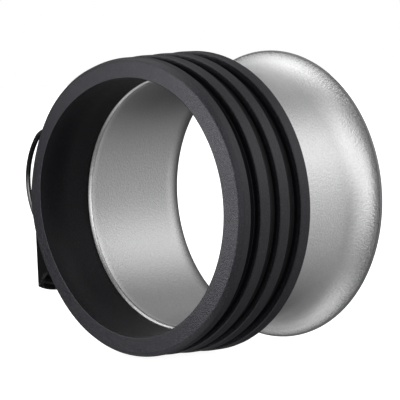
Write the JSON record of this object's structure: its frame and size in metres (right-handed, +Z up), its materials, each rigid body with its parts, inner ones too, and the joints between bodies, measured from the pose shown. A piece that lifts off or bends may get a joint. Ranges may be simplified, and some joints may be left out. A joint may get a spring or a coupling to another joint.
{
  "type": "slip-on snoot",
  "caption": "Short slip-on snoot: flared satin aluminium tube in a ribbed rubber collar that an over-centre draw latch clamps round a lamp head.",
  "frame": {"origin": "centre of the collar's mouth, the face towards the lamp head", "axes": "+Y along the tube's axis from the mouth to the flared exit, +Z up, draw latch on the -X side"},
  "size_m": [0.1272, 0.0818, 0.1184],
  "materials": {
    "satin_aluminium": "bead-blasted, clear anodised",
    "black_rubber": "moulded matte",
    "black_steel": "satin black coating",
    "lever_steel": "satin black coating",
    "bright_steel": "zinc plated",
    "chrome_wire": "bright chrome plated"
  },
  "bodies": {
    "root": {"flared_tube": "satin_aluminium", "rubber_collar": "black_rubber", "clamp_band": "black_steel", "gap_bridge": "bright_steel", "latch_base": "black_steel", "base_rivets": "bright_steel", "catch_plate": "black_steel", "catch_rivets": "bright_steel", "lever_pivot_pin": "bright_steel", "pivot_spacers": "bright_steel", "pivot_clip": "bright_steel", "retaining_band": "black_steel", "band_buckle": "black_steel"},
    "lever": {"latch_lever": "lever_steel"},
    "bail": {"wire_bail": "chrome_wire"}
  },
  "joints": [
    {"name": "lever_hinge", "type": "hinge", "parent": "root", "child": "lever", "pos_m": [-0.0614, 0.01965, 0], "axis": [0, 1, 0], "range_deg": [0, 120]},
    {"name": "bail_hinge", "type": "hinge", "parent": "lever", "child": "bail", "pos_m": [-0.06104, 0.01965, -0.00803], "axis": [0, 1, 0], "range_deg": [-105, 0]}
  ],
  "couplings": [
    {"joint": "bail_hinge", "follows": "lever_hinge", "ratio": -0.85}
  ]
}
